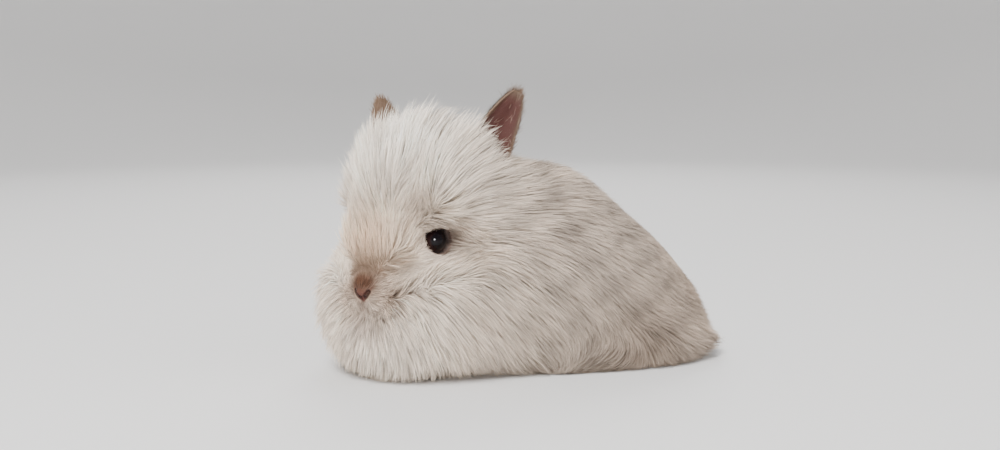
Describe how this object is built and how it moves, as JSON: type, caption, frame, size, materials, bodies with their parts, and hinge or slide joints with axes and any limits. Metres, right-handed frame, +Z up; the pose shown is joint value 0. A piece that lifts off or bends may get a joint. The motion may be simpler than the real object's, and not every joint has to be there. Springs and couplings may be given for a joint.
{
  "type": "young teddy dwarf rabbit",
  "caption": "Life-size still model of a young long-haired dwarf rabbit, crouching on the floor with its head turned to its left.",
  "frame": {"origin": "on the floor, under the middle of the rabbit's box", "axes": "+Z up; X along the body with the head toward -X and the tail toward +X; the rabbit's left side toward -Y"},
  "size_m": [0.1984, 0.0966, 0.1302],
  "materials": {
    "coat_cream": "long soft hair, cream",
    "coat_beige": "long soft hair, pale grey beige",
    "coat_tan": "long soft hair, tan",
    "ear_skin": "thin skin with very short hair, pink inside",
    "eye": "wet, nearly black brown"
  },
  "bodies": {
    "root": {"head": "coat_cream", "neck": "coat_cream", "torso": "coat_beige", "tail": "coat_tan", "foreleg_left": "coat_cream", "foreleg_right": "coat_cream", "hindleg_left": "coat_beige", "hindleg_right": "coat_beige", "ear_left": "ear_skin", "ear_right": "ear_skin", "eye_left": "eye", "eye_right": "eye"}
  },
  "joints": []
}
